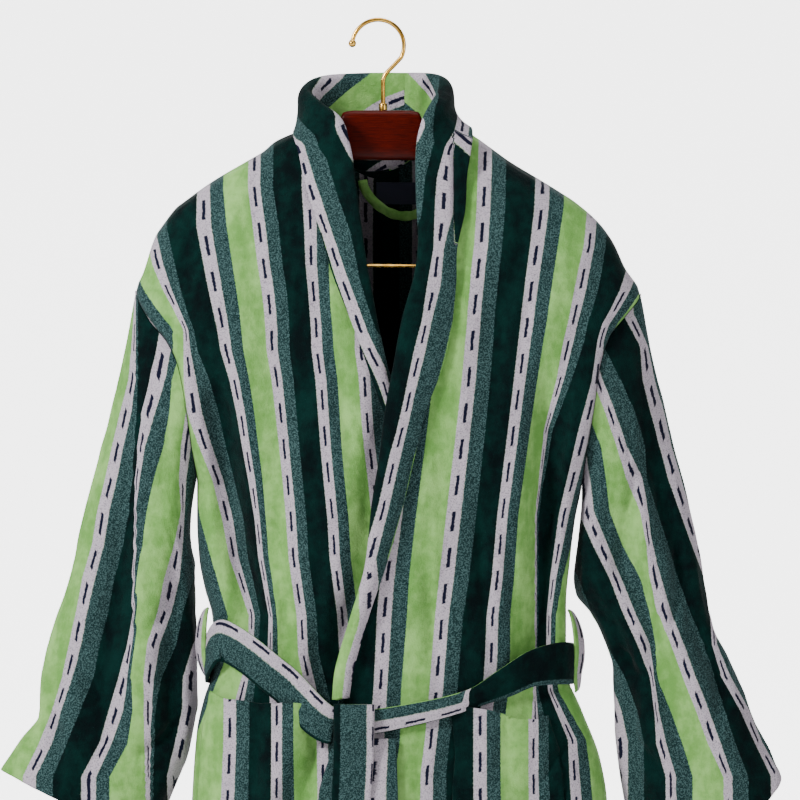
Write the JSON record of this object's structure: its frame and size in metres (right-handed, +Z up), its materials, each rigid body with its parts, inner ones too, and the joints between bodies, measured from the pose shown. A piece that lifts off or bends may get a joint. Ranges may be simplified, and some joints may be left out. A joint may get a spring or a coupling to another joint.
{
  "type": "shawl collar bathrobe on a wooden hanger",
  "caption": "Striped velour shawl collar bathrobe with long sleeves, patch pockets and a tied belt, hanging open at the neck on a wooden hanger.",
  "frame": {"origin": "on the underside of the hook's crown, where a rail or a peg carries the hanger", "axes": "+Z up, -Y the way the robe's front faces, +X the wearer's left"},
  "size_m": [0.7832, 0.198, 1.3346],
  "materials": {
    "striped_velour": "cotton velour in lengthwise bands of bottle green, apple green, heather teal and lilac grey with a broken navy line, sheared pile",
    "plain_velour": "plain apple green cotton velour, sheared pile",
    "woven_label": "plain navy woven satin, no text",
    "stained_wood": "mahogany red stain under clear satin lacquer",
    "polished_brass": "polished brass wire"
  },
  "bodies": {
    "root": {"front_right": "striped_velour", "front_left": "striped_velour", "back": "striped_velour", "sleeve_right": "striped_velour", "sleeve_left": "striped_velour", "collar_right": "striped_velour", "collar_left": "striped_velour", "pocket_right": "striped_velour", "pocket_left": "striped_velour", "belt": "striped_velour", "belt_tail_front": "striped_velour", "belt_tail_rear": "striped_velour", "belt_loop_right": "striped_velour", "belt_loop_left": "striped_velour", "hang_loop": "plain_velour", "neck_label": "woven_label", "hanger_arms": "stained_wood", "hanger_hook": "polished_brass", "hanger_bar": "polished_brass"}
  },
  "joints": []
}
